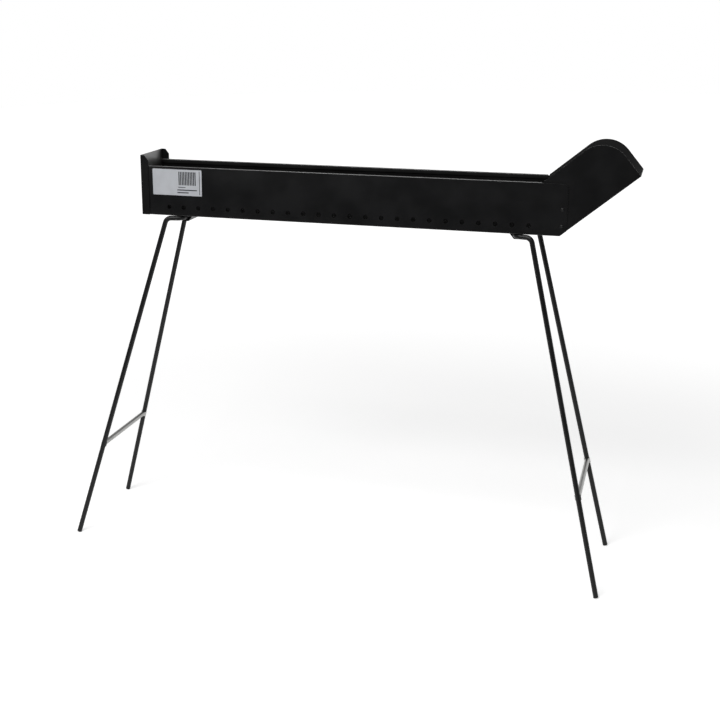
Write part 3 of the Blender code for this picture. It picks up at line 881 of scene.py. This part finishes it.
class GRILL_OT_set_stage(bpy.types.Operator):
    """Lay the floor, hang the two lamps, light the world and set the camera"""

    bl_idname = "grill.set_stage"
    bl_label = "Set the stage"

    def execute(self, context):
        settings = context.scene.grill_stage
        self.floor(settings)
        self.lamp("overhead_lamp", settings.lamp_power, *OVERHEAD_LAMP)
        self.lamp("front_lamp", settings.front_power, *FRONT_LAMP)
        self.world(settings)
        self.camera()
        context.scene.view_settings.view_transform = "Standard"
        return {"FINISHED"}

    def floor(self, settings):
        """Pale floor, lifted towards white where a ray sees it, that is clear from below."""
        edit = bmesh.new()
        bmesh.ops.create_circle(
            edit, cap_ends=True, segments=FLOOR_SEGMENTS, radius=FLOOR_RADIUS,
            matrix=Matrix.Translation(FLOOR_MIDDLE),
        )
        material = bpy.data.materials.new("studio_floor")
        material.use_nodes = True
        tree = material.node_tree
        shader = tree.nodes["Principled BSDF"]
        shader.inputs["Base Color"].default_value = (*settings.floor_colour, 1.0)
        shader.inputs["Roughness"].default_value = 0.9
        shader.inputs["Specular IOR Level"].default_value = 0.0
        shader.inputs["Emission Color"].default_value = (1.0, 1.0, 1.0, 1.0)
        seen = self.ray_is(tree, "Is Camera Ray", "Is Glossy Ray", "Is Transmission Ray")
        where = tree.nodes.new("ShaderNodeTexCoord").outputs["Object"]
        away = node(tree, "ShaderNodeVectorMath", links={0: where}, operation="LENGTH")
        level = node(
            tree, "ShaderNodeMapRange",
            {
                "From Min": LIFT_NEAR_TO, "From Max": LIFT_FAR_FROM,
                "To Min": settings.near_lift, "To Max": settings.far_lift,
            },
            {"Value": away.outputs["Value"]}, interpolation_type="SMOOTHSTEP",
        )
        lift = node(
            tree, "ShaderNodeMath", links={0: seen, 1: level.outputs["Result"]}, operation="MULTIPLY",
        )
        tree.links.new(lift.outputs[0], shader.inputs["Emission Strength"])
        side = tree.nodes.new("ShaderNodeNewGeometry")
        clear = tree.nodes.new("ShaderNodeBsdfTransparent")
        both = node(
            tree, "ShaderNodeMixShader",
            links={0: side.outputs["Backfacing"], 1: shader.outputs["BSDF"], 2: clear.outputs["BSDF"]},
        )
        tree.links.new(both.outputs[0], tree.nodes["Material Output"].inputs["Surface"])
        floor = link_mesh("studio_floor", edit, material)

    def ray_is(self, tree, *kinds):
        """1 for a ray of one of these kinds, else 0."""
        path = tree.nodes.new("ShaderNodeLightPath")
        total = path.outputs[kinds[0]]
        for kind in kinds[1:]:
            total = node(
                tree, "ShaderNodeMath", links={0: total, 1: path.outputs[kind]},
                operation="ADD", use_clamp=True,
            ).outputs[0]
        return total

    def lamp(self, name, power, size, place):
        """Wide soft lamp that points at the grill."""
        data = bpy.data.lights.new(name, "AREA")
        data.shape = "RECTANGLE"
        data.size, data.size_y = size
        data.energy = power
        lamp = bpy.data.objects.new(name, data)
        lamp.location = place
        bpy.context.scene.collection.objects.link(lamp)
        lamp.rotation_euler = (LAMP_AIM - lamp.location).to_track_quat("-Z", "Y").to_euler()

    def world(self, settings):
        """White to the camera; else a white backdrop behind, a dim room in front and a dim ceiling."""
        world = bpy.data.worlds.new("studio")
        bpy.context.scene.world = world
        world.use_nodes = True
        tree = world.node_tree
        tree.nodes.clear()
        out = tree.nodes.new("ShaderNodeOutputWorld")
        way = tree.nodes.new("ShaderNodeTexCoord").outputs["Generated"]
        parts = node(tree, "ShaderNodeSeparateXYZ", links={"Vector": way})
        behind = node(
            tree, "ShaderNodeMapRange",
            {
                "From Min": ROOM_TO, "From Max": BACKDROP_FROM,
                "To Min": settings.room, "To Max": settings.backdrop,
            },
            {"Value": parts.outputs["Y"]}, interpolation_type="SMOOTHSTEP",
        )
        under_ceiling = node(
            tree, "ShaderNodeMapRange",
            {
                "From Min": CEILING_FROM, "From Max": CEILING_FULL,
                "To Min": 1.0, "To Max": settings.ceiling,
            },
            {"Value": parts.outputs["Z"]}, interpolation_type="SMOOTHSTEP",
        )
        level = node(
            tree, "ShaderNodeMath",
            links={0: behind.outputs["Result"], 1: under_ceiling.outputs["Result"]}, operation="MULTIPLY",
        )
        studio = node(tree, "ShaderNodeBackground", links={"Strength": level.outputs[0]})
        white = tree.nodes.new("ShaderNodeBackground")
        for light in (studio, white):
            light.inputs["Color"].default_value = (1.0, 1.0, 1.0, 1.0)
        seen = self.ray_is(tree, "Is Camera Ray", "Is Transmission Ray")
        both = node(
            tree, "ShaderNodeMixShader", links={0: seen, 1: studio.outputs[0], 2: white.outputs[0]},
        )
        tree.links.new(both.outputs[0], out.inputs["Surface"])

    def camera(self):
        """Camera on the near side, above the rim and towards the chute."""
        flat = cos(CAMERA_PITCH)
        forward = Vector((-sin(CAMERA_AZIMUTH) * flat, cos(CAMERA_AZIMUTH) * flat, -sin(CAMERA_PITCH)))
        right = Vector((cos(CAMERA_AZIMUTH), sin(CAMERA_AZIMUTH), 0))
        down = forward.cross(right)
        level = right * cos(CAMERA_ROLL) + down * sin(CAMERA_ROLL)
        plumb = down * cos(CAMERA_ROLL) - right * sin(CAMERA_ROLL)
        data = bpy.data.cameras.new("camera")
        data.lens = CAMERA_LENS
        data.sensor_width = CAMERA_SENSOR
        data.shift_x, data.shift_y = CAMERA_SHIFT
        data.clip_start = 0.05
        data.clip_end = 50
        camera = bpy.data.objects.new("camera", data)
        bpy.context.scene.collection.objects.link(camera)
        turn = Matrix((level, -plumb, -forward)).transposed().to_4x4()
        camera.matrix_world = Matrix.Translation(CAMERA_PLACE) @ turn
        bpy.context.scene.camera = camera


# Panel and registration

class GRILL_PT_finish(bpy.types.Panel):
    """Panel with the grill's settings and operators"""

    bl_idname = "GRILL_PT_finish"
    bl_label = "Skewer grill"
    bl_space_type = "VIEW_3D"
    bl_region_type = "UI"
    bl_category = "Grill"

    def draw(self, context):
        for holder, steps in PANEL:
            column = self.layout.column(align=True)
            settings = getattr(context.scene, holder)
            for key in settings.__annotations__:
                column.prop(settings, key)
            for step in steps:
                column.operator(step.bl_idname)
            self.layout.separator()


PANEL = (
    (
        "grill_paint",
        (GRILL_OT_paint_sheets, GRILL_OT_paint_rivets, GRILL_OT_paint_straps, GRILL_OT_paint_legs),
    ),
    ("grill_zinc", (GRILL_OT_plate_braces,)),
    ("grill_weld", (GRILL_OT_weld_braces,)),
    ("grill_plate", (GRILL_OT_fit_plate,)),
    ("grill_stage", (GRILL_OT_set_stage,)),
)
SETTINGS = {
    "grill_paint": GrillPaintSettings,
    "grill_zinc": GrillZincSettings,
    "grill_weld": GrillWeldSettings,
    "grill_plate": GrillPlateSettings,
    "grill_stage": GrillStageSettings,
}
OPERATORS = [step for _, steps in PANEL for step in steps]


def register():
    for group in SETTINGS.values():
        bpy.utils.register_class(group)
    for step in OPERATORS:
        bpy.utils.register_class(step)
    bpy.utils.register_class(GRILL_PT_finish)
    for holder, group in SETTINGS.items():
        setattr(bpy.types.Scene, holder, PointerProperty(type=group))


def unregister():
    for holder in SETTINGS:
        delattr(bpy.types.Scene, holder)
    bpy.utils.unregister_class(GRILL_PT_finish)
    for step in reversed(OPERATORS):
        bpy.utils.unregister_class(step)
    for group in reversed(list(SETTINGS.values())):
        bpy.utils.unregister_class(group)


def main():
    register()
    bpy.ops.grill.paint_sheets()
    bpy.ops.grill.paint_rivets()
    bpy.ops.grill.paint_straps()
    bpy.ops.grill.paint_legs()
    bpy.ops.grill.plate_braces()
    bpy.ops.grill.weld_braces()
    bpy.ops.grill.fit_plate()
    bpy.ops.grill.set_stage()


if __name__ == "__main__":
    main()
